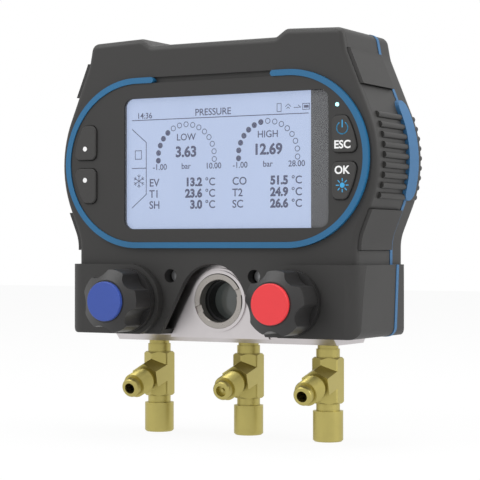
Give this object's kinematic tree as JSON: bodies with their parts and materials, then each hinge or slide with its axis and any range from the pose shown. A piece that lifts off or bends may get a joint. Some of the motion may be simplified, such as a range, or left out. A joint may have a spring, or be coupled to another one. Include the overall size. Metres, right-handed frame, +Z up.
{
  "type": "refrigerant manifold gauge",
  "caption": "Hand-held digital refrigerant manifold gauge: screen, keys, two valve knobs, sight glass and brass flare tees with caps.",
  "frame": {"origin": "on the floor under the middle of the part, with the port caps standing on it", "axes": "+X to the right as seen from the front, the front faces -Y, +Z up"},
  "size_m": [0.198, 0.0932, 0.2177],
  "materials": {
    "housing": "fine moulded texture, dark grey",
    "blue_band": "satin blue elastomer",
    "blue_trim": "satin blue",
    "panel": "smooth matt dark grey",
    "window": "clear polished",
    "display": "backlit liquid crystal display",
    "board": "green circuit board",
    "steel": "zinc plated",
    "key_rubber": "matt silicone",
    "light": "clear cyan light pipe",
    "aluminium": "fine machined",
    "brass": "machined brass",
    "black_rubber": "matt black",
    "knob_plastic": "fine moulded texture, black",
    "cap_blue": "satin blue",
    "cap_red": "satin red",
    "sight_glass": "grey green glass",
    "cell_wrap": "printed cell jacket"
  },
  "bodies": {
    "root": {"battery_cells": "cell_wrap", "battery_contacts": "steel", "battery_cover": "housing", "board_screws": "steel", "cover_screws": "steel", "display_module": "display", "display_panel": "panel", "display_window": "window", "front_housing": "housing", "gallery_plugs": "brass", "high_side_bonnet": "brass", "high_side_pressure_sensor": "steel", "high_side_tee": "brass", "hook_pin": "steel", "housing_screws": "steel", "key_switches": "steel", "lock_screws": "steel", "low_side_bonnet": "brass", "low_side_pressure_sensor": "steel", "low_side_tee": "brass", "main_board": "board", "manifold_block": "aluminium", "middle_tee": "brass", "rear_housing": "housing", "seal_band": "blue_band", "sight_glass": "sight_glass", "sight_glass_ring": "aluminium", "sight_glass_seal": "black_rubber", "sight_glass_sleeve": "black_rubber", "status_light": "light", "trim_loop": "blue_trim", "valve_core": "brass"},
    "low_side_piston": {"low_side_piston": "brass"},
    "low_side_knob": {"low_side_knob": "knob_plastic", "low_side_knob_cap": "cap_blue", "low_side_stem": "steel"},
    "high_side_piston": {"high_side_piston": "brass"},
    "high_side_knob": {"high_side_knob": "knob_plastic", "high_side_knob_cap": "cap_red", "high_side_stem": "steel"},
    "upper_left_key": {"upper_left_key": "key_rubber"},
    "lower_left_key": {"lower_left_key": "key_rubber"},
    "upper_right_key": {"upper_right_key": "key_rubber"},
    "lower_right_key": {"lower_right_key": "key_rubber"},
    "upper_left_flap": {"upper_left_flap": "black_rubber"},
    "lower_left_flap": {"lower_left_flap": "black_rubber"},
    "upper_right_flap": {"upper_right_flap": "black_rubber"},
    "lower_right_flap": {"lower_right_flap": "black_rubber"},
    "hanging_hook": {"hanging_hook": "steel"},
    "low_side_cap_seal": {"low_side_cap_seal": "black_rubber"},
    "low_side_port_cap": {"low_side_port_cap": "brass"},
    "middle_cap_seal": {"middle_cap_seal": "black_rubber"},
    "middle_port_cap": {"middle_port_cap": "brass"},
    "high_side_cap_seal": {"high_side_cap_seal": "black_rubber"},
    "high_side_port_cap": {"high_side_port_cap": "brass"}
  },
  "joints": [
    {"name": "low_side_piston_slide", "type": "slide", "parent": "root", "child": "low_side_piston", "axis": [0, -1, 0], "range_m": [0, 0.0045]},
    {"name": "low_side_knob_turn", "type": "hinge", "parent": "low_side_piston", "child": "low_side_knob", "pos_m": [-0.05, -0.0227, 0.0746], "axis": [0, -1, 0], "range_deg": [0, 1080]},
    {"name": "high_side_piston_slide", "type": "slide", "parent": "root", "child": "high_side_piston", "axis": [0, -1, 0], "range_m": [0, 0.0045]},
    {"name": "high_side_knob_turn", "type": "hinge", "parent": "high_side_piston", "child": "high_side_knob", "pos_m": [0.05, -0.0227, 0.0746], "axis": [0, -1, 0], "range_deg": [0, 1080]},
    {"name": "upper_left_key_press", "type": "slide", "parent": "root", "child": "upper_left_key", "axis": [0, 1, 0], "range_m": [0, 0.001], "stiffness_N_per_m": 400, "springref_m": -0.0005},
    {"name": "lower_left_key_press", "type": "slide", "parent": "root", "child": "lower_left_key", "axis": [0, 1, 0], "range_m": [0, 0.001], "stiffness_N_per_m": 400, "springref_m": -0.0005},
    {"name": "upper_right_key_press", "type": "slide", "parent": "root", "child": "upper_right_key", "axis": [0, 1, 0], "range_m": [0, 0.001], "stiffness_N_per_m": 400, "springref_m": -0.0005},
    {"name": "lower_right_key_press", "type": "slide", "parent": "root", "child": "lower_right_key", "axis": [0, 1, 0], "range_m": [0, 0.001], "stiffness_N_per_m": 400, "springref_m": -0.0005},
    {"name": "upper_left_flap_hinge", "type": "hinge", "parent": "root", "child": "upper_left_flap", "pos_m": [-0.08469, 0.0223, 0.19696], "axis": [-0.3728, 0, -0.9279], "range_deg": [0, 105]},
    {"name": "lower_left_flap_hinge", "type": "hinge", "parent": "root", "child": "lower_left_flap", "pos_m": [-0.09026, 0.0223, 0.11187], "axis": [0.2802, 0, -0.9599], "range_deg": [0, 105]},
    {"name": "upper_right_flap_hinge", "type": "hinge", "parent": "root", "child": "upper_right_flap", "pos_m": [0.08469, 0.0223, 0.19696], "axis": [-0.3728, 0, 0.9279], "range_deg": [0, 105]},
    {"name": "lower_right_flap_hinge", "type": "hinge", "parent": "root", "child": "lower_right_flap", "pos_m": [0.09026, 0.0223, 0.11187], "axis": [0.2802, 0, 0.9599], "range_deg": [0, 105]},
    {"name": "hook_swing", "type": "hinge", "parent": "root", "child": "hanging_hook", "pos_m": [0, 0.04435, 0.2055], "axis": [1, 0, 0], "range_deg": [0, 180]},
    {"name": "low_side_cap_lift", "type": "slide", "parent": "root", "child": "low_side_cap_seal", "axis": [0, 0, -1], "range_m": [0, 0.01143]},
    {"name": "low_side_cap_turn", "type": "hinge", "parent": "low_side_cap_seal", "child": "low_side_port_cap", "pos_m": [-0.053, 0.0147, 0.00815], "axis": [0, 0, -1], "range_deg": [0, 3240]},
    {"name": "middle_cap_lift", "type": "slide", "parent": "root", "child": "middle_cap_seal", "axis": [0, 0, -1], "range_m": [0, 0.01143]},
    {"name": "middle_cap_turn", "type": "hinge", "parent": "middle_cap_seal", "child": "middle_port_cap", "pos_m": [0, 0.0229, 0.00815], "axis": [0, 0, -1], "range_deg": [0, 3240]},
    {"name": "high_side_cap_lift", "type": "slide", "parent": "root", "child": "high_side_cap_seal", "axis": [0, 0, -1], "range_m": [0, 0.01143]},
    {"name": "high_side_cap_turn", "type": "hinge", "parent": "high_side_cap_seal", "child": "high_side_port_cap", "pos_m": [0.053, 0.0147, 0.00815], "axis": [0, 0, -1], "range_deg": [0, 3240]}
  ],
  "couplings": [
    {"joint": "low_side_knob_turn", "follows": "low_side_piston_slide", "rad_per_m": 4188.8},
    {"joint": "high_side_knob_turn", "follows": "high_side_piston_slide", "rad_per_m": 4188.8},
    {"joint": "low_side_cap_turn", "follows": "low_side_cap_lift", "rad_per_m": 4947.4},
    {"joint": "middle_cap_turn", "follows": "middle_cap_lift", "rad_per_m": 4947.4},
    {"joint": "high_side_cap_turn", "follows": "high_side_cap_lift", "rad_per_m": 4947.4}
  ]
}
